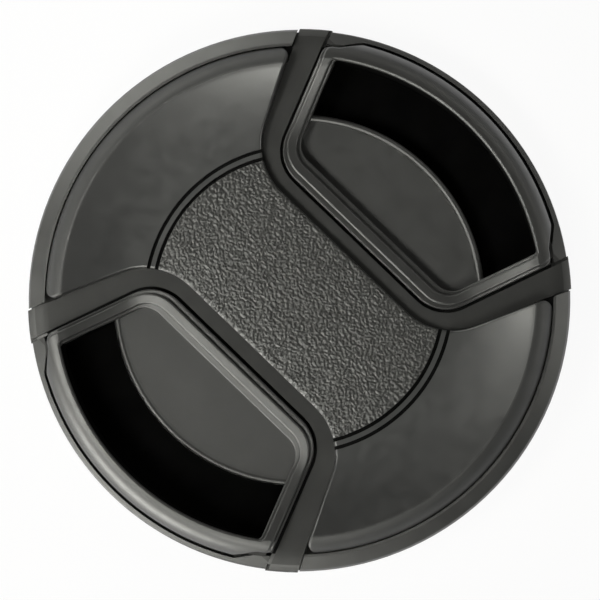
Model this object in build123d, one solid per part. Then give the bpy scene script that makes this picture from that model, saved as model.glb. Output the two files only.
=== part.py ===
from build123d import *

import os
from dataclasses import dataclass
from math import asin, cos, degrees, radians, sin, sqrt, tan

# Centre-pinch lens cap for a 58 mm lens thread, in millimetres.
# +Z is the front of the cap, +X the way the right lever slides out.
# z = 0 is the back edge, which the cap rests on.

# Lens thread and grained pad, which set the other radii
thread_radius = 29.0
pad_radius = 16.0

# Rings from the edge inward, seen from the front
rim_overhang = 1.0
rim_slope_width = 1.6
rim_land = 0.4
bevel_width = 1.8
well_rim_width = 2.3
pocket_width = 6.1
band_end_width = 2.2
plug_clearance = 0.8
lever_overhang = 0.15
thread_depth = 0.4

# Steps between the front surfaces
rim_rise = 0.7
rim_drop = 0.8
band_end_drop = 0.65
dish_rise = 0.9

# Heights above the back edge
floor_underside = 1.4
seat_height = 2.8
band_height = 6.3

# Walls
floor_thickness = 1.0
plug_wall = 1.0
cover_thickness = 1.05
seat_ring_thickness = 0.8
flange_thickness = 0.9

# Clearances
slide_clearance = 0.15
seam_clearance = 0.1
rim_seam = 0.05
lever_travel = 1.6

# Window between pad, panels and lever
pad_half_width = 7.3
window_corner_y = 14.2
window_splay = 25.0
window_corner_radius = 7.2
panel_corner_radius = 1.0
flange_overlap = 1.2

# Lines between panel and pad
strip_width = 0.9
line_width = 0.4
line_depth = 0.6

# Edge roundings
crest_rounding = 0.6
cover_rounding = 0.3
frame_rounding = 0.25
tread_rounding = 0.15
rim_rounding = 0.25
bevel_drop = 1.6
bevel_start_angle = 13.0

# Lever frame and finger well
band_width = 2.0
bar_width = 2.5
arm_width = 1.75
band_side_width = 2.6
frame_splay = 20.5
frame_corner_radius = 4.4
well_corner_radius = 2.4
crown_drop = 1.75
tread_drop = 0.55
bar_tread = 0.65
arm_tread = 0.3
foot_line_width = 0.35
foot_line_depth = 0.6
crown_line_width = 0.4
ledge_depth = 2.0
ledge_thickness = 1.0
finger_wall_width = 0.95
lip_height = 0.4
lip_land = 0.05
lip_rounding = 0.4
well_end_rounding = 0.5
well_wall = 1.2
well_floor = 0.65
shoulder_start_angle = 3.4
shoulder_end_angle = 8.4
shoulder_rounding = 0.9
leg_wall = 1.1
leg_end_gap = 0.3
leg_lead_in = 0.3

# Guides, stops and springs inside
spring_y = 6.0
spring_outer_radius = 1.2
spring_wire_radius = 0.2
spring_turns = 7
spring_seat_gap = 0.05
post_length = 2.0
trough_length = 12.0
trough_wall = 0.6
trough_height = 1.0
fin_y = 9.3
fin_thickness = 0.9
hook_length = 0.9
hook_reach = 0.9
lug_thickness = 1.0

# Pins that hold the cover on the body
pin_x = 8.5
pin_inset = 5.0
pin_radius = 1.0
pin_length = 3.0
boss_wall = 1.1
centre_post_radius = 2.5

# How near an edge lies to an outline that it follows, and how steep a face counts as a wall
outline_tolerance = 0.001
wall_angle = 82.0

# Values that follow from the sizes above
cap_radius = thread_radius + rim_overhang
rim_top_radius = cap_radius - rim_slope_width
cover_radius = rim_top_radius - rim_land
crest_radius = cover_radius - bevel_width
well_radius = thread_radius - well_rim_width
finger_wall_radius = well_radius - pocket_width
plug_radius = thread_radius - plug_clearance
plug_inner_radius = plug_radius - plug_wall
pin_y = sqrt((plug_inner_radius - pin_inset) ** 2 - pin_x**2)
floor_top = floor_underside + floor_thickness
seat_ring_top = seat_height + seat_ring_thickness
rim_top_height = band_height + rim_rise
rim_edge_height = rim_top_height - rim_drop
cover_underside = band_height + slide_clearance
pad_height = cover_underside + cover_thickness
crest_height = pad_height + dish_rise
seat_ring_radius = thread_radius + slide_clearance
rabbet_height = band_height - cover_thickness
flange_underside = band_height - flange_thickness
crown_radius = thread_radius + seam_clearance / 2
ledge_height = pad_height - ledge_depth
well_bottom = floor_top + slide_clearance
leg_radius = thread_radius - thread_depth
floor_reach = leg_radius - leg_wall - lever_travel - 2 * slide_clearance
side_sweep = lever_travel * sin(radians(window_splay)) + slide_clearance
spring_height = (floor_top + flange_underside) / 2
dish_curve = ((crest_radius - pad_radius) ** 2 + dish_rise**2) / (2 * dish_rise)
reach = 2 * cap_radius


@dataclass
class Splay:
    """Plan of a lever feature: a straight edge across X, with two sides that spread outward."""

    edge_x: float
    corner_y: float
    angle: float
    corner_radius: float

    def grown(self, edge, side):
        """The same plan with its straight edge and its two sides moved outward."""
        slope = radians(self.angle)
        corner_y = self.corner_y - edge * tan(slope) + side / cos(slope)
        return Splay(self.edge_x - edge, corner_y, self.angle, self.corner_radius + (edge + side) / 2)

    def side_angle(self, radius):
        """Angle round the cap at which a side meets a circle."""
        slope = radians(self.angle)
        offset = self.corner_y * cos(slope) - self.edge_x * sin(slope)
        return self.angle + degrees(asin(offset / radius))

    def face(self):
        far_x = self.edge_x + reach
        far_y = self.corner_y + reach * tan(radians(self.angle))
        near = [(self.edge_x, self.corner_y), (self.edge_x, -self.corner_y)]
        far = [(far_x, -far_y), (far_x, far_y)]
        outline = make_face(Polyline(*near, *far, close=True))
        return fillet(outline.vertices().group_by(Axis.X)[0], self.corner_radius)


window = Splay(pad_half_width, window_corner_y, window_splay, window_corner_radius)
frame_edge = window.grown(-band_width, 0)
frame = Splay(frame_edge.edge_x, frame_edge.corner_y - band_side_width, frame_splay, frame_corner_radius)
well_edge = frame.grown(-bar_width, -arm_width)
well = Splay(well_edge.edge_x, well_edge.corner_y, frame_splay, well_corner_radius)


def slab(plan, bottom, top):
    return extrude(Pos(0, 0, bottom) * plan, amount=top - bottom, dir=(0, 0, 1))


def ring(inner, outer):
    return Circle(outer) - Circle(inner)


def turned(profile):
    """Solid of revolution about Z from a face drawn with radius as X and height as Y."""
    return revolve(Plane.XZ * profile, axis=Axis.Z)


def corner(profile, radius, height):
    return profile.vertices().sort_by_distance((radius, height))[0]


def box_between(x_range, y_range, z_range):
    """Block between two values on each axis."""
    spans = [high - low for low, high in (x_range, y_range, z_range)]
    middles = [(low + high) / 2 for low, high in (x_range, y_range, z_range)]
    return Pos(*middles) * Box(*spans)


def column(x, y, radius, bottom, top):
    return Pos(x, y, (bottom + top) / 2) * Cylinder(radius, top - bottom)


def both_ways(solid):
    """A feature and its copy half a turn round the cap."""
    return solid + Rot(0, 0, 180) * solid


def dish_height(radius):
    """Height of the dished front at a radius outside the pad."""
    return pad_height + dish_curve - sqrt(dish_curve**2 - (radius - pad_radius) ** 2)


def band_form(bottom):
    """Solid under the band, which is level and then curves down to the lever's outer edge."""
    curve_start = (cap_radius - band_end_width, band_height)
    edge = (cap_radius + lever_overhang, band_height - band_end_drop)
    outline = [
        Line((0, bottom), (0, band_height)),
        Line((0, band_height), curve_start),
        TangentArc(curve_start, edge, tangent=(1, 0)),
        Line(edge, (edge[0], bottom)),
        Line((edge[0], bottom), (0, bottom)),
    ]
    profile = make_face(outline)
    return turned(fillet([corner(profile, *edge)], rim_rounding))


def crown_rim_form(bottom):
    """Solid under the sloped rim that runs round the foot of a lever's crown."""
    edge = (cap_radius, band_height - rim_drop)
    points = [(0, bottom), (cap_radius, bottom), edge, (rim_top_radius, band_height), (0, band_height)]
    profile = make_face(Polyline(*points, close=True))
    edges = [corner(profile, *edge), corner(profile, rim_top_radius, band_height)]
    return turned(fillet(edges, rim_rounding))


def cap_body():
    points = [
        (0, floor_underside),
        (plug_inner_radius, floor_underside),
        (plug_inner_radius, 0),
        (plug_radius, 0),
        (plug_radius, seat_height),
        (cap_radius, seat_height),
        (cap_radius, rim_edge_height),
        (rim_top_radius, rim_top_height),
        (cover_radius + seam_clearance, rim_top_height),
        (cover_radius + seam_clearance, rabbet_height),
        (plug_inner_radius, rabbet_height),
        (plug_inner_radius, floor_top),
        (0, floor_top),
    ]
    profile = make_face(Polyline(*points, close=True))
    edges = [(plug_radius, 0), (cap_radius, seat_height), (cap_radius, rim_edge_height)]
    body = turned(chamfer([corner(profile, *edge) for edge in edges], rim_rounding))
    body -= both_ways(rim_gap())
    body -= both_ways(leg_slot())
    for plan in spring_troughs():
        body += slab(plan, floor_top, floor_top + trough_height)
    for x in (-pin_x, pin_x):
        for y in (-pin_y, pin_y):
            boss = column(x, y, pin_radius + boss_wall, floor_top, floor_top + pin_length)
            body += boss - column(x, y, pin_radius + seam_clearance / 2, floor_top, floor_top + pin_length)
    body += column(0, 0, centre_post_radius, floor_top, cover_underside)
    return body + both_ways(stop_lugs())


def rim_gap():
    """Gap in the rim for a lever: a narrow seam at the front, and room below for the lever's sweep."""
    side = ring(floor_reach, reach)
    seam = slab(window.grown(rim_seam, rim_seam).face() & side, seat_ring_top, reach)
    sweep = slab(window.grown(side_sweep, side_sweep).face() & side, seat_ring_top, reach)
    return seam + (sweep & Pos(0, 0, slide_clearance) * band_form(seat_height))


def leg_slot():
    """Slot in the floor, plug wall and seat ring that a lever's leg passes through."""
    ring_bevel = (cap_radius - seat_ring_radius) / 2
    points = [
        (floor_reach, -reach),
        (seat_ring_radius, -reach),
        (seat_ring_radius, seat_ring_top - ring_bevel),
        (seat_ring_radius + ring_bevel, seat_ring_top),
        (seat_ring_radius + ring_bevel, pad_height),
        (floor_reach, pad_height),
    ]
    around = turned(make_face(Polyline(*points, close=True)))
    return around & slab(frame.grown(side_sweep, side_sweep).face(), -reach, pad_height)


def spring_troughs():
    """Plans of the two low walls beside each spring."""
    offset = spring_outer_radius + slide_clearance + trough_wall / 2
    for y in (-spring_y, spring_y):
        for side in (-offset, offset):
            yield Pos(0, y + side) * Rectangle(trough_length, trough_wall)


def stop_lugs():
    """Two lugs on the floor that guide the right lever's fins and catch their hooks."""
    start = fin_inner_end() + hook_length + seam_clearance
    end = well.edge_x - well_wall - lever_travel - seam_clearance
    near = fin_y + fin_thickness / 2 + slide_clearance
    top = flange_underside - slide_clearance
    lug = box_between((start, end), (near, near + lug_thickness), (floor_top, top))
    return lug + mirror(lug, Plane.XZ)


def fin_inner_end():
    return pad_half_width - flange_overlap


def cover_plan():
    plan = Circle(cover_radius) - window.face() - Rot(0, 0, 180) * window.face()
    ends = plan.vertices().filter_by(lambda point: Vector(point).length > cover_radius - seam_clearance)
    return fillet(ends, panel_corner_radius)


def cover_profile():
    """Half section of the cover: level pad, dish up to the crest, rounded bevel down to the rim."""
    start_angle = radians(bevel_start_angle)
    edge_height = crest_height - bevel_drop
    crest = (crest_radius, crest_height)
    under_end = dish_height(crest_radius) - cover_thickness
    outline = [
        Line((0, pad_height), (pad_radius, pad_height)),
        TangentArc((pad_radius, pad_height), crest, tangent=(1, 0)),
        TangentArc(crest, (cover_radius, edge_height), tangent=(cos(start_angle), -sin(start_angle))),
        Line((cover_radius, edge_height), (cover_radius, cover_underside)),
        Line((cover_radius, cover_underside), (crest_radius, cover_underside)),
        Line((crest_radius, cover_underside), (crest_radius, under_end)),
        TangentArc((pad_radius, cover_underside), (crest_radius, under_end), tangent=(1, 0)),
        Line((pad_radius, cover_underside), (0, cover_underside)),
        Line((0, cover_underside), (0, pad_height)),
    ]
    profile = make_face(outline)
    return fillet([corner(profile, *crest)], crest_rounding)


def front_cover():
    plan = cover_plan()
    cover = turned(cover_profile()) & slab(plan, 0, reach)
    cover = fillet(front_outline_edges(cover, plan), cover_rounding)
    for radius in (pad_radius, pad_radius + strip_width):
        line = ring(radius - line_width / 2, radius + line_width / 2)
        cover -= slab(line, pad_height - line_depth, crest_height)
    gaps = window.grown(side_sweep, side_sweep).face()
    skirt = ring(plug_inner_radius, cover_radius) - gaps - Rot(0, 0, 180) * gaps
    cover += slab(skirt, rabbet_height, cover_underside)
    for x in (-pin_x, pin_x):
        for y in (-pin_y, pin_y):
            foot = floor_top + seam_clearance
            cover += column(x, y, pin_radius, foot, dish_height(sqrt(x * x + y * y)) - cover_thickness / 2)
    return cover


def front_outline_edges(solid, plan):
    """Edges where a solid's front faces meet the walls that stand on the outline of its plan."""
    outline = plan.edges()

    def on_outline(edge):
        middle = edge @ 0.5
        return min(side.distance_to(Vector(middle.X, middle.Y, 0)) for side in outline) < outline_tolerance

    front = solid.faces().filter_by(lambda face: face.normal_at().Z > cos(radians(wall_angle)))
    return front.edges().filter_by(on_outline)


def lever_front():
    """Solid under the lever's front surface: the dish, carried on to the well's rim, then a rounded crown."""
    crest = (well_radius, dish_height(well_radius))
    crown_end = (crown_radius, crest[1] - crown_drop)
    outline = [
        Line((0, floor_top), (0, pad_height)),
        Line((0, pad_height), (pad_radius, pad_height)),
        TangentArc((pad_radius, pad_height), crest, tangent=(1, 0)),
        TangentArc(crest, crown_end, tangent=(1, 0)),
        Line(crown_end, (crown_radius, floor_top)),
        Line((crown_radius, floor_top), (0, floor_top)),
    ]
    profile = make_face(outline)
    return turned(fillet([corner(profile, *crest)], crest_rounding))


def crown_plan():
    """Plan of the raised frame's outer side: full out in the middle, stepped in at the two shoulders."""
    inner = cover_radius + seam_clearance
    arm_end = frame.side_angle(inner)
    step = []
    for radius, before_end in ((inner, shoulder_start_angle), (crown_radius, shoulder_end_angle)):
        turn = radians(arm_end - before_end)
        step.append(Vector(radius * cos(turn), radius * sin(turn)))
    slope = (step[1].Y - step[0].Y) / (step[1].X - step[0].X)
    tip = step[0].X - step[0].Y / slope
    base = step[0].Y - step[0].X * slope
    middle = make_face(Polyline((0, -base), (tip, 0), (0, base), close=True))
    plan = Circle(inner) + (Circle(crown_radius) & middle)
    steps = plan.vertices().sort_by(Axis.X)[-4:]
    return fillet(steps, shoulder_rounding)


def frame_plan(edge_inset, side_inset):
    """Plan of the raised frame's outside, drawn in from its foot line."""
    plan = frame.grown(-edge_inset, -side_inset).face() & crown_plan()
    arm_ends = plan.vertices().sort_by(lambda point: abs(point.Y))[-2:]
    return fillet(arm_ends, shoulder_rounding)


def well_plan(edge_inset, side_inset):
    """Plan of the finger well, widened at the bar and the arms."""
    plan = well.grown(edge_inset, side_inset).face() & Circle(well_radius)
    outer_corners = plan.vertices().sort_by(lambda point: abs(point.Y))[-2:]
    return fillet(outer_corners, well_end_rounding)


def raised_frame():
    """The bar, two arms and crown round the finger well, with a lower tread along each side."""
    front = lever_front()
    steps = []
    for plan, drop, rounding in (
        (frame_plan(0, 0) - well_plan(0, 0), tread_drop, tread_rounding),
        (frame_plan(bar_tread, arm_tread) - well_plan(bar_tread, arm_tread), 0, frame_rounding),
    ):
        step = slab(plan, flange_underside, reach) & (Pos(0, 0, -drop) * front)
        steps.append(fillet(front_outline_edges(step, plan), rounding))
    return steps[0] + steps[1]


def lever_base():
    """Sunk flange round the frame, which ends in the band at its sides and a sloped rim at the crown."""
    hidden = window.grown(flange_overlap, flange_overlap).face() & Circle(plug_inner_radius - plug_wall)
    base = slab(hidden, flange_underside, band_height)
    sector = window.grown(-seam_clearance, -seam_clearance).face() & ring(floor_reach, reach)
    bottom = seat_ring_top + slide_clearance
    base += slab(sector - frame.face(), bottom, reach) & band_form(bottom)
    base += slab(sector & frame.face(), bottom, reach) & crown_rim_form(bottom)
    frame_line = frame.grown(foot_line_width, foot_line_width).face() - frame.face()
    base -= slab(frame_line, flange_underside, reach) - Pos(0, 0, -foot_line_depth) * band_form(seat_height)
    crown = crown_plan()
    crown_line = (offset(crown, crown_line_width) - crown) & frame.face()
    kept = Pos(0, 0, -foot_line_depth) * crown_rim_form(floor_top)
    return base - (slab(crown_line, seat_height, reach) - kept)


def lever_leg():
    """Arc below the rim that carries the thread ridges and spreads into the lens."""
    inner = leg_radius - leg_wall
    points = [
        (inner, leg_end_gap),
        (leg_radius, leg_end_gap),
        (leg_radius, band_height),
        (inner, band_height),
    ]
    profile = make_face(Polyline(*points, close=True))
    around = turned(chamfer([corner(profile, leg_radius, leg_end_gap)], leg_lead_in))
    return around & slab(well.grown(well_wall, well_wall).face(), 0, band_height)


def pinch_lever():
    lever = lever_base()
    outside = well.grown(well_wall, well_wall).face() & Circle(leg_radius)
    lever += slab(outside, well_bottom, band_height)
    lever += raised_frame()
    lever += lever_leg()
    inside = well_plan(0, 0)
    lever -= slab(inside, ledge_height, reach)
    lever -= slab(inside - Circle(finger_wall_radius), well_bottom + well_floor, reach)
    lever -= slab(inside & Circle(finger_wall_radius - finger_wall_width), 0, ledge_height - ledge_thickness)
    lever += finger_wall_lip() & slab(inside, 0, reach)
    return lever + guide_fins() + spring_posts()


def finger_wall_lip():
    """Top of the wall that the finger pushes: it slopes up from the ledge to a rounded edge."""
    foot = finger_wall_radius - finger_wall_width
    top = ledge_height + lip_height
    points = [
        (foot, ledge_height - ledge_thickness),
        (finger_wall_radius, ledge_height - ledge_thickness),
        (finger_wall_radius, top),
        (finger_wall_radius - lip_rounding - lip_land, top),
        (foot, ledge_height),
    ]
    profile = make_face(Polyline(*points, close=True))
    return turned(fillet([corner(profile, finger_wall_radius, top)], lip_rounding))


def guide_fins():
    inner_end = fin_inner_end()
    near, far = fin_y - fin_thickness / 2, fin_y + fin_thickness / 2
    heights = (well_bottom, flange_underside)
    wall = well.edge_x - well_wall
    fin = box_between((inner_end, wall + well_wall / 2), (near, far), heights)
    fin += box_between((inner_end, inner_end + hook_length), (near, far + hook_reach), heights)
    return fin + mirror(fin, Plane.XZ)


def spring_posts():
    wall = well.edge_x - well_wall
    start, end = wall - post_length, wall + well_wall / 2
    radius = spring_outer_radius - 2 * spring_wire_radius - slide_clearance
    post = Pos((start + end) / 2, spring_y, spring_height) * Rot(0, 90, 0) * Cylinder(radius, end - start)
    return post + mirror(post, Plane.XZ)


def return_spring(y):
    length = 2 * (well.edge_x - well_wall - spring_seat_gap)
    mean_radius = spring_outer_radius - spring_wire_radius
    rise = length - 2 * spring_wire_radius
    path = Helix(rise / spring_turns, rise, mean_radius)
    section = Plane(path @ 0, z_dir=path % 0) * Circle(spring_wire_radius)
    coil = sweep(section, path)
    return Pos(-rise / 2, y, spring_height) * Rot(0, 90, 0) * coil


parts = {
    "cap_body": cap_body(),
    "front_cover": front_cover(),
    "pinch_lever_right": pinch_lever(),
    "return_spring_front": return_spring(-spring_y),
    "return_spring_rear": return_spring(spring_y),
}
parts["pinch_lever_left"] = Rot(0, 0, 180) * parts["pinch_lever_right"]

os.makedirs("parts", exist_ok=True)
for name, solid in parts.items():
    export_step(solid, f"parts/{name}.step")
    print(name, round(solid.volume, 1), "mm3")
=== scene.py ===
import math

import bmesh
import bpy
from mathutils import Matrix, Vector, noise


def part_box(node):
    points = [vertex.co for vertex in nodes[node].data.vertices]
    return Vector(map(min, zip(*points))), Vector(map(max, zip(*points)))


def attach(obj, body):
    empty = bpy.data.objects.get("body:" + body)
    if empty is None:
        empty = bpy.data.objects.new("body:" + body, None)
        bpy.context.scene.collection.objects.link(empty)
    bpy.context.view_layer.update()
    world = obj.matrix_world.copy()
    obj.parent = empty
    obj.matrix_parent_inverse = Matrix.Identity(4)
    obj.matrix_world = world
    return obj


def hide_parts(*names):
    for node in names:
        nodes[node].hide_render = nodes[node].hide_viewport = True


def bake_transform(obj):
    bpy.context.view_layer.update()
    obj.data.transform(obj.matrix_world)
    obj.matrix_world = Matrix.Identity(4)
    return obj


mm = 0.001

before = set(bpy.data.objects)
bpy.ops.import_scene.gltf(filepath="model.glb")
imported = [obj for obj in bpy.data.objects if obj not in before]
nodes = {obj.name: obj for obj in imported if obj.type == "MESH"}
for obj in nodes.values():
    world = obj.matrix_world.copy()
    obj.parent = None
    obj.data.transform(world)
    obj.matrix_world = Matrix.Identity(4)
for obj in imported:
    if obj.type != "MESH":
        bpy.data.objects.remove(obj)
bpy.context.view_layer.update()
scene = bpy.context.scene
scene.view_settings.view_transform = "Standard"
print("frame loaded:", ", ".join(sorted(nodes)))


# Finishes

def newMaterial(name):
    material = bpy.data.materials.new(name)
    material.use_nodes = True
    tree = material.node_tree
    tree.nodes.clear()
    output = tree.nodes.new("ShaderNodeOutputMaterial")
    surface = tree.nodes.new("ShaderNodeBsdfPrincipled")
    tree.links.new(surface.outputs["BSDF"], output.inputs["Surface"])
    return material, tree, surface


def noiseNode(tree, size, detail=2.0, roughness=0.5):
    # Noise with features of a real size, in object space
    place = tree.nodes.new("ShaderNodeTexCoord")
    node = tree.nodes.new("ShaderNodeTexNoise")
    node.inputs["Scale"].default_value = 1.0 / size
    node.inputs["Detail"].default_value = detail
    node.inputs["Roughness"].default_value = roughness
    tree.links.new(place.outputs["Object"], node.inputs["Vector"])
    return node.outputs["Fac"]


def mapRange(tree, value, start, end, low, high):
    # low before start, high past end
    node = tree.nodes.new("ShaderNodeMapRange")
    limits = {"From Min": start, "From Max": end, "To Min": low, "To Max": high}
    for name, number in limits.items():
        node.inputs[name].default_value = number
    tree.links.new(value, node.inputs["Value"])
    return node.outputs["Result"]


noiseSpan = (0.3, 0.7)   # most noise lies between these


def spread(tree, value, low, high):
    # Noise stretched to a range
    return mapRange(tree, value, *noiseSpan, low, high)


def product(tree, first, second):
    node = tree.nodes.new("ShaderNodeMath")
    node.operation = "MULTIPLY"
    tree.links.new(first, node.inputs[0])
    tree.links.new(second, node.inputs[1])
    return node.outputs[0]


def vectorStep(tree, operation, *inputs):
    node = tree.nodes.new("ShaderNodeVectorMath")
    node.operation = operation
    for socket, value in zip(node.inputs, inputs):
        if isinstance(value, tuple):
            socket.default_value = value
        else:
            tree.links.new(value, socket)
    return node


def scaled(tree, vector, factor):
    node = tree.nodes.new("ShaderNodeVectorMath")
    node.operation = "SCALE"
    tree.links.new(vector, node.inputs["Vector"])
    tree.links.new(factor, node.inputs["Scale"])
    return node.outputs["Vector"]


def bump(tree, height, depth, under=None):
    node = tree.nodes.new("ShaderNodeBump")
    node.inputs["Strength"].default_value = 1.0
    node.inputs["Distance"].default_value = depth
    tree.links.new(height, node.inputs["Height"])
    if under is not None:
        tree.links.new(under, node.inputs["Normal"])
    return node.outputs["Normal"]


# Shading that deepens the front's dish, leans the bars outward and narrows the lip
lean = {
    "dish": (16 * mm, 25.5 * mm),          # radii, from the pad to the crest
    "crestFade": 0.7 * mm,
    "bar": (9.7 * mm, 11.6 * mm),          # distances from the middle, along the slide
    "barFade": 2.4 * mm,
    "frontHeight": 6.8 * mm,               # dish and bars only above this
    "fade": 0.2 * mm,
    "lip": (19.64 * mm, 20.15 * mm),       # radii
    "lipHeight": (5.4 * mm, 5.96 * mm),
    "lipFoot": 5.74 * mm,                  # levelled up to here, and less above
    "lipAbove": 0.47,                      # share of the slope above the foot
    "lipFade": 0.01 * mm,
}


def window(tree, value, limits, fade):
    # 1 between the limits, 0 outside
    start, end = limits
    rise = mapRange(tree, value, start, start + fade, 0, 1)
    return product(tree, rise, mapRange(tree, value, end - fade, end, 1, 0))


def axisOffset(tree, place, axes):
    # The part of a place that lies along these axes, and its length
    along = vectorStep(tree, "MULTIPLY", place, axes).outputs["Vector"]
    return along, vectorStep(tree, "LENGTH", along).outputs["Value"]


def leanedNormal(tree, finish):
    fade = lean["fade"]
    place = tree.nodes.new("ShaderNodeTexCoord").outputs["Object"]
    split = tree.nodes.new("ShaderNodeSeparateXYZ")
    tree.links.new(place, split.inputs["Vector"])
    height = split.outputs["Z"]
    level, radius = axisOffset(tree, place, (1, 1, 0))
    inner, outer = lean["dish"]
    dish = mapRange(tree, radius, inner, outer, 0, -finish["dishSlope"] / outer)
    dish = product(tree, dish, mapRange(tree, radius, outer, outer + lean["crestFade"], 1, 0))
    tilt = scaled(tree, level, dish)
    if "barSlope" in finish:
        along, offset = axisOffset(tree, place, (1, 0, 0))
        start, end = lean["bar"]
        bar = mapRange(tree, offset, start - fade, start, 0, finish["barSlope"] / end)
        bar = product(tree, bar, mapRange(tree, offset, end, end + lean["barFade"], 1, 0))
        tilt = vectorStep(tree, "ADD", tilt, scaled(tree, along, bar)).outputs["Vector"]
    front = mapRange(tree, height, lean["frontHeight"], lean["frontHeight"] + fade, 0, 1)
    tilt = scaled(tree, tilt, front)
    if "lipSlope" in finish:
        foot, lipFade = lean["lipFoot"], lean["lipFade"]
        slope = finish["lipSlope"] / lean["lip"][1]
        lip = mapRange(tree, height, foot - lipFade, foot, slope, slope * lean["lipAbove"])
        lip = product(tree, lip, window(tree, height, lean["lipHeight"], lipFade))
        lip = product(tree, lip, window(tree, radius, lean["lip"], lipFade))
        tilt = vectorStep(tree, "ADD", tilt, scaled(tree, level, lip)).outputs["Vector"]
    facing = tree.nodes.new("ShaderNodeNewGeometry").outputs["Normal"]
    leaned = vectorStep(tree, "ADD", facing, tilt).outputs["Vector"]
    return vectorStep(tree, "NORMALIZE", leaned).outputs["Vector"]


def mouldedPlastic(name, finish):
    material, tree, surface = newMaterial(name)
    tone = tree.nodes.new("ShaderNodeMix")
    tone.data_type = "RGBA"
    tone.inputs["A"].default_value = (*finish["dark"], 1)
    tone.inputs["B"].default_value = (*finish["light"], 1)
    cloud = noiseNode(tree, finish["toneSize"])
    tree.links.new(spread(tree, cloud, 0, 1), tone.inputs["Factor"])
    tree.links.new(tone.outputs["Result"], surface.inputs["Base Color"])
    gloss = noiseNode(tree, finish["glossSize"], detail=4)
    tree.links.new(spread(tree, gloss, *finish["roughness"]), surface.inputs["Roughness"])
    surface.inputs["IOR"].default_value = finish["ior"]
    surface.inputs["Specular IOR Level"].default_value = finish["shine"]
    under = None
    if "dishSlope" in finish:
        under = leanedNormal(tree, finish)
    swell = noiseNode(tree, finish["waveSize"], detail=1)
    wave = bump(tree, swell, finish["waveDepth"], under)
    speckle = noiseNode(tree, finish["grainSize"], detail=3, roughness=0.6)
    fine = bump(tree, speckle, finish["grainDepth"], wave)
    tree.links.new(fine, surface.inputs["Normal"])
    return material


panelFinish = {
    "dark": (0.0155, 0.0158, 0.0162), "light": (0.0205, 0.0209, 0.0213), "toneSize": 4 * mm,
    "roughness": (0.33, 0.39), "glossSize": 1.5 * mm, "ior": 1.65, "shine": 1.0,
    "waveSize": 6 * mm, "waveDepth": 0.010 * mm,
    "grainSize": 0.14 * mm, "grainDepth": 0.006 * mm,
    "dishSlope": 0.16,
}
leverFinish = {
    "dark": (0.017, 0.017, 0.017), "light": (0.023, 0.023, 0.023), "toneSize": 3 * mm,
    "roughness": (0.40, 0.47), "glossSize": 1.2 * mm, "ior": 1.5, "shine": 1.0,
    "waveSize": 5 * mm, "waveDepth": 0.008 * mm,
    "grainSize": 0.12 * mm, "grainDepth": 0.005 * mm,
    "dishSlope": 0.16, "barSlope": 0.20, "lipSlope": 0.62,
}
bodyFinish = {
    "dark": (0.025, 0.025, 0.0245), "light": (0.033, 0.033, 0.0325), "toneSize": 3 * mm,
    "roughness": (0.36, 0.44), "glossSize": 1.2 * mm, "ior": 1.6, "shine": 1.0,
    "waveSize": 5 * mm, "waveDepth": 0.008 * mm,
    "grainSize": 0.13 * mm, "grainDepth": 0.006 * mm,
}
padFinish = {
    "dark": (0.018, 0.0180, 0.0174), "light": (0.037, 0.0370, 0.0358), "toneSize": 1.6 * mm,
    "roughness": (0.42, 0.50), "glossSize": 0.6 * mm, "ior": 1.5, "shine": 0.8,
    "waveSize": 3 * mm, "waveDepth": 0.004 * mm,
    "grainSize": 0.1 * mm, "grainDepth": 0.006 * mm,
}
bandFinish = {
    "dark": (0.024, 0.024, 0.0236), "light": (0.032, 0.032, 0.0314), "toneSize": 3 * mm,
    "roughness": (0.44, 0.54), "glossSize": 1.0 * mm, "ior": 1.5, "shine": 0.44,
    "waveSize": 4 * mm, "waveDepth": 0.006 * mm,
    "grainSize": 0.1 * mm, "grainDepth": 0.006 * mm,
}
# Painted shade: a rough near-black finish put on the pocket floors in place of the pocket's
# shadow
pocketShadeFinish = {
    "dark": (0.002, 0.002, 0.002), "light": (0.0032, 0.0032, 0.0032), "toneSize": 3 * mm,
    "roughness": (0.85, 0.95), "glossSize": 1.2 * mm, "ior": 1.5, "shine": 0.02,
    "waveSize": 5 * mm, "waveDepth": 0.008 * mm,
    "grainSize": 0.12 * mm, "grainDepth": 0.008 * mm,
}
crestFinish = {
    "dark": (0.027, 0.0273, 0.0276), "light": (0.033, 0.0333, 0.0336), "toneSize": 4 * mm,
    "roughness": (0.48, 0.56), "glossSize": 1.5 * mm, "ior": 1.5, "shine": 0.7,
    "waveSize": 6 * mm, "waveDepth": 0.008 * mm,
    "grainSize": 0.14 * mm, "grainDepth": 0.006 * mm,
}
# Painted shade: a rough near-black finish put in the grooves round the pad and along the foot of
# the lever frames in place of their shadow
grooveShadeFinish = {
    "dark": (0.006, 0.006, 0.006), "light": (0.009, 0.009, 0.009), "toneSize": 3 * mm,
    "roughness": (0.65, 0.75), "glossSize": 1.2 * mm, "ior": 1.5, "shine": 0.08,
    "waveSize": 5 * mm, "waveDepth": 0.008 * mm,
    "grainSize": 0.12 * mm, "grainDepth": 0.006 * mm,
}
panelPlastic = mouldedPlastic("panelPlastic", panelFinish)
leverPlastic = mouldedPlastic("leverPlastic", leverFinish)
bodyPlastic = mouldedPlastic("bodyPlastic", bodyFinish)
padPlastic = mouldedPlastic("padPlastic", padFinish)
bandPlastic = mouldedPlastic("bandPlastic", bandFinish)
pocketShadePlastic = mouldedPlastic("pocketShadePlastic", pocketShadeFinish)
crestPlastic = mouldedPlastic("crestPlastic", crestFinish)
grooveShadePlastic = mouldedPlastic("grooveShadePlastic", grooveShadeFinish)

wireFinish = {"color": (0.55, 0.55, 0.54), "roughness": (0.22, 0.38), "drawSize": 0.25 * mm}


def drawnWire(name, finish):
    material, tree, surface = newMaterial(name)
    surface.inputs["Base Color"].default_value = (*finish["color"], 1)
    surface.inputs["Metallic"].default_value = 1.0
    streak = noiseNode(tree, finish["drawSize"])
    tree.links.new(spread(tree, streak, *finish["roughness"]), surface.inputs["Roughness"])
    return material


wireSteel = drawnWire("wireSteel", wireFinish)

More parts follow.
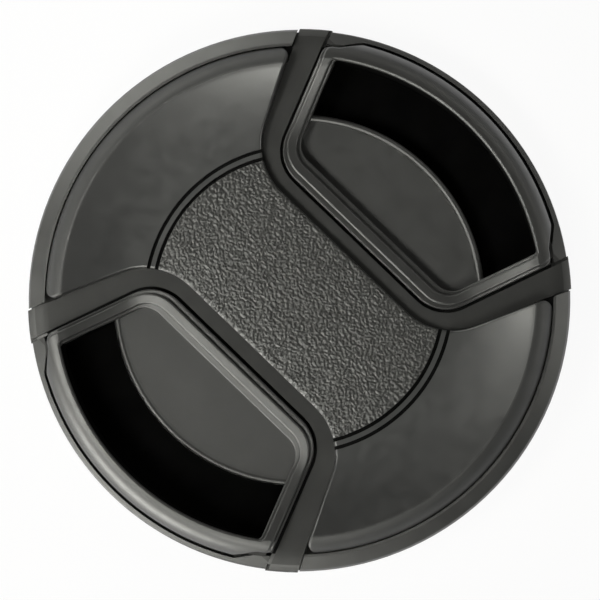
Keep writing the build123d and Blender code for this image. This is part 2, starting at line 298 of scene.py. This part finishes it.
nodeFinish = {
    "cap_body": bodyPlastic,
    "front_cover": panelPlastic,
    "pinch_lever_right": leverPlastic,
    "pinch_lever_left": leverPlastic,
    "return_spring_front": wireSteel,
    "return_spring_rear": wireSteel,
}
for name, material in nodeFinish.items():
    mesh = nodes[name].data
    mesh.materials.clear()
    mesh.materials.append(material)


def addFinish(mesh, material):
    # The number that a face takes for this finish
    mesh.materials.append(material)
    return len(mesh.materials) - 1


# On a lever the pocket and the groove get painted shade, a rough near-black finish standing in
# for their shadow, and the level band is duller than the frame
pocket = {"floorBelow": 4.0 * mm, "radius": 27.0 * mm}
band = {"bottom": 6.05 * mm, "top": 6.4 * mm, "upright": 0.8}
groove = {
    "floor": 5.7 * mm, "within": 0.02 * mm, "top": 6.32 * mm,
    "level": 0.99, "steep": 0.05,          # upward part of a face's normal
}


def finishLever(mesh):
    dullBand = addFinish(mesh, bandPlastic)
    paintedPocketShade = addFinish(mesh, pocketShadePlastic)
    paintedGrooveShade = addFinish(mesh, grooveShadePlastic)
    for face in mesh.polygons:
        x, y, z = face.center
        heights = [mesh.vertices[i].co.z for i in face.vertices]
        lowest, rise = min(heights), face.normal.z
        inside = math.hypot(x, y) < pocket["radius"]
        sunk = abs(lowest - groove["floor"]) < groove["within"] and max(heights) < groove["top"]
        if sunk and (rise > groove["level"] or abs(rise) < groove["steep"]):
            face.material_index = paintedGrooveShade
        elif band["bottom"] < z < band["top"] and rise > band["upright"]:
            face.material_index = dullBand
        elif lowest < pocket["floorBelow"] and inside:
            face.material_index = paintedPocketShade


# On the cover the lines round the pad get painted shade, a rough near-black finish standing in
# for their shadow, and the crest is duller than the panels
ringLines = {"floorBelow": 7.2 * mm, "inner": 15.5 * mm, "outer": 17.1 * mm}
crest = {"radius": 26.05 * mm, "above": 6.6 * mm}


def finishCover(mesh):
    paintedLineShade = addFinish(mesh, grooveShadePlastic)
    dullCrest = addFinish(mesh, crestPlastic)
    for face in mesh.polygons:
        x, y, z = face.center
        radius = math.hypot(x, y)
        lowest = min(mesh.vertices[i].co.z for i in face.vertices)
        if ringLines["inner"] < radius < ringLines["outer"] and lowest < ringLines["floorBelow"]:
            face.material_index = paintedLineShade
        elif radius > crest["radius"] and z > crest["above"]:
            face.material_index = dullCrest


finishCover(nodes["front_cover"].data)
finishLever(nodes["pinch_lever_right"].data)
finishLever(nodes["pinch_lever_left"].data)
print("finishes set on", len(nodeFinish), "nodes")


# Grained skin over the pad

pad = {
    "radius": 15.8 * mm,           # inner edge of the groove round the pad
    "halfWidth": 7.3 * mm,
    "arcStart": 9.61 * mm,         # where the straight side turns into the waist's arc
    "arcRadius": 7.2 * mm,
    "height": 7.5 * mm,
    "rounding": 0.45 * mm,
    "crown": 0.3 * mm,             # rise of the middle over the two long sides
    "spacing": 0.07 * mm,
    "lift": 0.006 * mm,
    "inset": 0.01 * mm,
    "underside": 7.1 * mm,
    "settle": 12,                  # rounds in which a point's x and y come to agree
}
# Grain of the pad: scales are against its size, shares against its height
padGrain = {
    "seed": 3,                     # keeps the grain the same each run
    "size": 0.28 * mm,
    "height": 0.18 * mm,
    "level": 0.6,
    "swing": 0.75,
    "bendScale": 0.7, "bend": 0.3,
    "fineScale": 2.1, "fineShare": 0.5, "fineShift": Vector((7, 3, 1)),
    "pitScale": 0.7, "pitShare": 1.7, "pitStart": 0.12, "pitShift": Vector((3, 9, 4)),
    "patchScale": 0.12, "patchShare": 0.5,
}


def padHalfWidth(y):
    past = max(abs(y) - pad["arcStart"], 0.0)
    return pad["halfWidth"] + pad["arcRadius"] - math.sqrt(pad["arcRadius"] ** 2 - past ** 2)


def padPoint(u, v):
    # Point of the pad's plan for u and v from -1 to 1
    x = u * pad["halfWidth"]
    for _ in range(pad["settle"]):
        y = v * math.sqrt((pad["radius"] - pad["inset"]) ** 2 - x ** 2)
        x = u * (padHalfWidth(y) - pad["inset"])
    return x, y


def padEdgeDistance(x, y):
    # How far inside the pad's long sides a point is
    past = abs(y) - pad["arcStart"]
    if past <= 0:
        return pad["halfWidth"] - abs(x)
    centre = pad["halfWidth"] + pad["arcRadius"]
    return math.hypot(abs(x) - centre, past) - pad["arcRadius"]


def grain(x, y):
    # Fine leather-like grain, 0 to 1
    size = padGrain["size"]
    place = Vector((x / size, y / size, 0))
    bend = noise.noise_vector(place * padGrain["bendScale"]) * padGrain["bend"]
    fine = noise.noise(place * padGrain["fineScale"] + padGrain["fineShift"])
    value = noise.noise(place + bend) + padGrain["fineShare"] * fine
    pit = noise.noise(place * padGrain["pitScale"] + padGrain["pitShift"])
    pit = max(pit - padGrain["pitStart"], 0.0)
    patch = 1 + padGrain["patchShare"] * noise.noise(place * padGrain["patchScale"])
    relief = (padGrain["swing"] * value - padGrain["pitShare"] * pit) * patch
    return min(max(padGrain["level"] + relief, 0.0), 1.0)


def padHeight(x, y):
    reach = min(max(padEdgeDistance(x, y), 0.0), pad["rounding"])
    short = pad["rounding"] - reach
    drop = pad["rounding"] - math.sqrt(pad["rounding"] ** 2 - short ** 2)
    crown = pad["crown"] * max(1 - (x / pad["halfWidth"]) ** 2, 0.0)
    return pad["height"] - drop + pad["lift"] + crown + padGrain["height"] * grain(x, y)


def gridMesh(name, rows, bottom):
    # Closed mesh under rows of points, all of one length, with a level underside
    wide, deep = len(rows[0]), len(rows)
    points = [point for row in rows for point in row]
    faces = []
    for i in range(deep - 1):
        for j in range(wide - 1):
            start = i * wide + j
            faces.append((start, start + 1, start + wide + 1, start + wide))
    border = list(range(wide)) + [i * wide + wide - 1 for i in range(1, deep)]
    border += [(deep - 1) * wide + j for j in range(wide - 2, -1, -1)]
    border += [i * wide for i in range(deep - 2, 0, -1)]
    foot = len(points)
    points += [(points[i][0], points[i][1], bottom) for i in border]
    for k in range(len(border)):
        after = (k + 1) % len(border)
        faces.append((border[k], foot + k, foot + after, border[after]))
    faces.append(tuple(range(len(points) - 1, foot - 1, -1)))
    mesh = bpy.data.meshes.new(name)
    mesh.from_pydata(points, [], faces)
    mesh.shade_smooth()
    return mesh


def makePad():
    noise.seed_set(padGrain["seed"])
    across = int(2 * pad["halfWidth"] / pad["spacing"])
    along = int(2 * pad["radius"] / pad["spacing"])
    rows = []
    for i in range(along + 1):
        row = []
        for j in range(across + 1):
            x, y = padPoint(2 * j / across - 1, 2 * i / along - 1)
            row.append((x, y, padHeight(x, y)))
        rows.append(row)
    skin = bpy.data.objects.new("pad_grain", gridMesh("pad_grain", rows, pad["underside"]))
    scene.collection.objects.link(skin)
    skin.data.materials.append(padPlastic)
    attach(skin, "cap")
    print("pad grain:", len(skin.data.polygons), "faces")


makePad()


# Thread ridges on the two arcs that grip the lens

thread = {
    "rootRadius": 28.58 * mm,      # just inside the arc's face
    "crestRadius": 29.0 * mm,
    "pitch": 0.75 * mm,
    "firstHeight": 0.85 * mm,
    "ridges": 3,
    "footHalf": 0.30 * mm,
    "crestHalf": 0.06 * mm,
    "halfAngle": 35.6,             # degrees each side of the slide axis
    "runOut": 4.0,                 # degrees over which a ridge rises from its end
    "step": 0.6,                   # degrees between sections
}


def ridgeSection(angle, height, rise):
    # Four corners of a ridge's section, flat against the arc where rise is 0
    tip = thread["rootRadius"] + (thread["crestRadius"] - thread["rootRadius"]) * rise
    section = []
    for radius, offset in (
        (thread["rootRadius"], -thread["footHalf"]),
        (tip, -thread["crestHalf"]),
        (tip, thread["crestHalf"]),
        (thread["rootRadius"], thread["footHalf"]),
    ):
        section.append((radius * math.cos(angle), radius * math.sin(angle), height + offset))
    return section


def makeThread(name, facing, body):
    rows, faces = [], []
    corners = 4
    steps = int(2 * thread["halfAngle"] / thread["step"])
    for ridge in range(thread["ridges"]):
        start = len(rows) * corners
        for i in range(steps + 1):
            turn = -thread["halfAngle"] + 2 * thread["halfAngle"] * i / steps
            fromEnd = thread["halfAngle"] - abs(turn)
            rise = math.sin(math.pi / 2 * min(fromEnd / thread["runOut"], 1.0))
            height = thread["firstHeight"] + thread["pitch"] * (ridge + turn / 360)
            rows.append(ridgeSection(math.radians(facing + turn), height, rise))
        for i in range(steps):
            low = start + i * corners
            high = low + corners
            for side in range(corners):
                after = (side + 1) % corners
                faces.append((low + side, high + side, high + after, low + after))
        last = start + steps * corners
        faces.append((start, start + 1, start + 2, start + 3))
        faces.append((last + 3, last + 2, last + 1, last))
    mesh = bpy.data.meshes.new(name)
    mesh.from_pydata([point for row in rows for point in row], [], faces)
    mesh.materials.append(leverPlastic)
    ridges = bpy.data.objects.new(name, mesh)
    scene.collection.objects.link(ridges)
    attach(ridges, body)


makeThread("thread_ridges_right", 0, "right_lever")
makeThread("thread_ridges_left", 180, "left_lever")
print("thread ridges:", thread["ridges"], "on each lever")


# Springs, each in two halves cut at the middle

def springHalf(node, side):
    cut = bmesh.new()
    cut.from_mesh(nodes[node].data)
    everything = cut.verts[:] + cut.edges[:] + cut.faces[:]
    result = bmesh.ops.bisect_plane(
        cut, geom=everything, plane_co=(0, 0, 0), plane_no=(side, 0, 0), clear_inner=True
    )
    rim = [item for item in result["geom_cut"] if isinstance(item, bmesh.types.BMEdge)]
    bmesh.ops.edgeloop_fill(cut, edges=rim)
    name = node + ("_right" if side > 0 else "_left")
    mesh = bpy.data.meshes.new(name)
    cut.to_mesh(mesh)
    cut.free()
    mesh.shade_smooth()
    mesh.materials.clear()
    mesh.materials.append(wireSteel)
    half = bpy.data.objects.new(name, mesh)
    scene.collection.objects.link(half)
    return half


def makeSpring(node):
    low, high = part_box(node)
    for side, reach, body in ((1, high[0], "right_lever"), (-1, low[0], "left_lever")):
        half = springHalf(node, side)
        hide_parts(node)
        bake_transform(half)


makeSpring("return_spring_front")
makeSpring("return_spring_rear")
print("springs: 4 halves")


# Floor, light and camera

floor = {
    "size": 6.0, "below": 0.02 * mm,
    "color": (0.8, 0.8, 0.8), "whiteness": 0.93, "shown": (1.0, 1.0, 1.0),
}


def makeFloor():
    half = floor["size"] / 2
    mesh = bpy.data.meshes.new("floor")
    corners = [(-half, -half), (half, -half), (half, half), (-half, half)]
    mesh.from_pydata([(x, y, -floor["below"]) for x, y in corners], [], [(0, 1, 2, 3)])
    plane = bpy.data.objects.new("floor", mesh)
    scene.collection.objects.link(plane)
    material = bpy.data.materials.new("paleFloor")
    material.use_nodes = True
    tree = material.node_tree
    tree.nodes.clear()
    output = tree.nodes.new("ShaderNodeOutputMaterial")
    lit = tree.nodes.new("ShaderNodeBsdfDiffuse")
    lit.inputs["Color"].default_value = (*floor["color"], 1)
    shown = tree.nodes.new("ShaderNodeEmission")
    shown.inputs["Color"].default_value = (*floor["shown"], 1)
    # The camera, mirrors and glass see it white, with some of its shadow
    path = tree.nodes.new("ShaderNodeLightPath")
    seen = path.outputs["Is Camera Ray"]
    for ray in ("Is Glossy Ray", "Is Transmission Ray"):
        either = tree.nodes.new("ShaderNodeMath")
        either.operation = "MAXIMUM"
        tree.links.new(seen, either.inputs[0])
        tree.links.new(path.outputs[ray], either.inputs[1])
        seen = either.outputs[0]
    share = tree.nodes.new("ShaderNodeMath")
    share.operation = "MULTIPLY"
    share.inputs[1].default_value = floor["whiteness"]
    tree.links.new(seen, share.inputs[0])
    mix = tree.nodes.new("ShaderNodeMixShader")
    tree.links.new(share.outputs[0], mix.inputs["Fac"])
    tree.links.new(lit.outputs["BSDF"], mix.inputs[1])
    tree.links.new(shown.outputs["Emission"], mix.inputs[2])
    tree.links.new(mix.outputs["Shader"], output.inputs["Surface"])
    mesh.materials.append(material)


makeFloor()

# Sky: glow near the horizon, dark overhead
sky = {"horizon": (0.075, 0.075, 0.075), "overhead": (0.005, 0.005, 0.005), "fadeHeight": 0.5}


def makeSky():
    world = bpy.data.worlds.new("studio")
    scene.world = world
    world.use_nodes = True
    tree = world.node_tree
    background = tree.nodes["Background"]
    place = tree.nodes.new("ShaderNodeTexCoord")
    split = tree.nodes.new("ShaderNodeSeparateXYZ")
    tree.links.new(place.outputs["Generated"], split.inputs["Vector"])
    fade = tree.nodes.new("ShaderNodeMapRange")
    fade.interpolation_type = "SMOOTHSTEP"
    fade.inputs["From Min"].default_value = 0.0
    fade.inputs["From Max"].default_value = sky["fadeHeight"]
    tree.links.new(split.outputs["Z"], fade.inputs["Value"])
    mix = tree.nodes.new("ShaderNodeMix")
    mix.data_type = "RGBA"
    mix.inputs["A"].default_value = (*sky["horizon"], 1)
    mix.inputs["B"].default_value = (*sky["overhead"], 1)
    tree.links.new(fade.outputs["Result"], mix.inputs["Factor"])
    tree.links.new(mix.outputs["Result"], background.inputs["Color"])


makeSky()

# Soft boxes: azimuth from +X, elevation above the floor and spread of the beam in degrees
softBoxes = {
    "keyLeft": {
        "azimuth": 148, "elevation": 55, "distance": 0.30, "size": (0.11, 0.11),
        "spread": 30, "radiance": 26.5,
    },
    "keyRight": {
        "azimuth": 210, "elevation": 55, "distance": 0.40, "size": (0.16, 0.16),
        "spread": 30, "radiance": 15.0,
    },
    "low": {
        "azimuth": 180, "elevation": 14, "distance": 0.50, "size": (0.40, 0.14),
        "spread": 180, "radiance": 16.0,
    },
    "top": {
        "azimuth": 78, "elevation": 21, "distance": 0.50, "size": (0.50, 0.12),
        "spread": 180, "radiance": 4.8,
    },
    "right": {
        "azimuth": 312, "elevation": 20, "distance": 0.50, "size": (0.20, 0.12),
        "spread": 180, "radiance": 4.5,
    },
    "far": {
        "azimuth": 5, "elevation": 34, "distance": 0.50, "size": (0.40, 0.08),
        "spread": 180, "radiance": 2.2,
    },
    "fill": {
        "azimuth": 305, "elevation": 58, "distance": 0.50, "size": (0.25, 0.25),
        "spread": 180, "radiance": 0.25,
    },
}
boxColor = (1.0, 1.0, 0.93)
boxAim = Vector((0, 22 * mm, 0))
openSpread = 180   # a box with no grid


def makeSoftBoxes():
    for name, box in softBoxes.items():
        width, height = box["size"]
        light = bpy.data.lights.new(name, "AREA")
        light.shape = "RECTANGLE"
        light.size, light.size_y = width, height
        light.spread = math.radians(box["spread"])
        light.color = boxColor
        light.energy = box["radiance"] * width * height * math.pi
        if box["spread"] < openSpread:
            # A grid gathers the same power into a narrower beam, so it takes less
            half = light.spread / 2
            light.energy *= 1 - half / math.tan(half)
        lamp = bpy.data.objects.new(name, light)
        scene.collection.objects.link(lamp)
        turn, rise = math.radians(box["azimuth"]), math.radians(box["elevation"])
        level = math.cos(rise)
        back = Vector((math.cos(turn) * level, math.sin(turn) * level, math.sin(rise)))
        lamp.location = back * box["distance"]
        lamp.rotation_euler = (lamp.location - boxAim).to_track_quat("Z", "Y").to_euler()


makeSoftBoxes()

view = {
    "tilt": 3.0,             # degrees from straight down, toward -Y
    "up": 44.0,              # model angle that points up in the picture
    "lens": 180.0,
    "sensor": 36.0,
    "frameWidth": 66.6 * mm, # width of what is seen, at the height aimed at
    "aimRight": 0.12 * mm,   # the cap stands this far left of the picture's middle
    "aimHeight": 5.0 * mm,
    "clip": (0.1, 100),      # times the camera's distance
}


def makeCamera():
    data = bpy.data.cameras.new("camera")
    data.lens = view["lens"]
    data.sensor_width = view["sensor"]
    camera = bpy.data.objects.new("camera", data)
    scene.collection.objects.link(camera)
    tilt, up = math.radians(view["tilt"]), math.radians(view["up"])
    back = Vector((0, -math.sin(tilt), math.cos(tilt)))
    right = Vector((math.cos(up), math.sin(up), 0)).cross(back).normalized()
    above = back.cross(right)
    distance = view["frameWidth"] * view["lens"] / view["sensor"]
    turn = Matrix((right, above, back)).transposed().to_4x4()
    aim = Vector((0, 0, view["aimHeight"])) + right * view["aimRight"]
    camera.matrix_world = Matrix.Translation(aim + back * distance) @ turn
    data.clip_start, data.clip_end = (distance * share for share in view["clip"])
    scene.camera = camera


makeCamera()
print("floor, light and camera set")
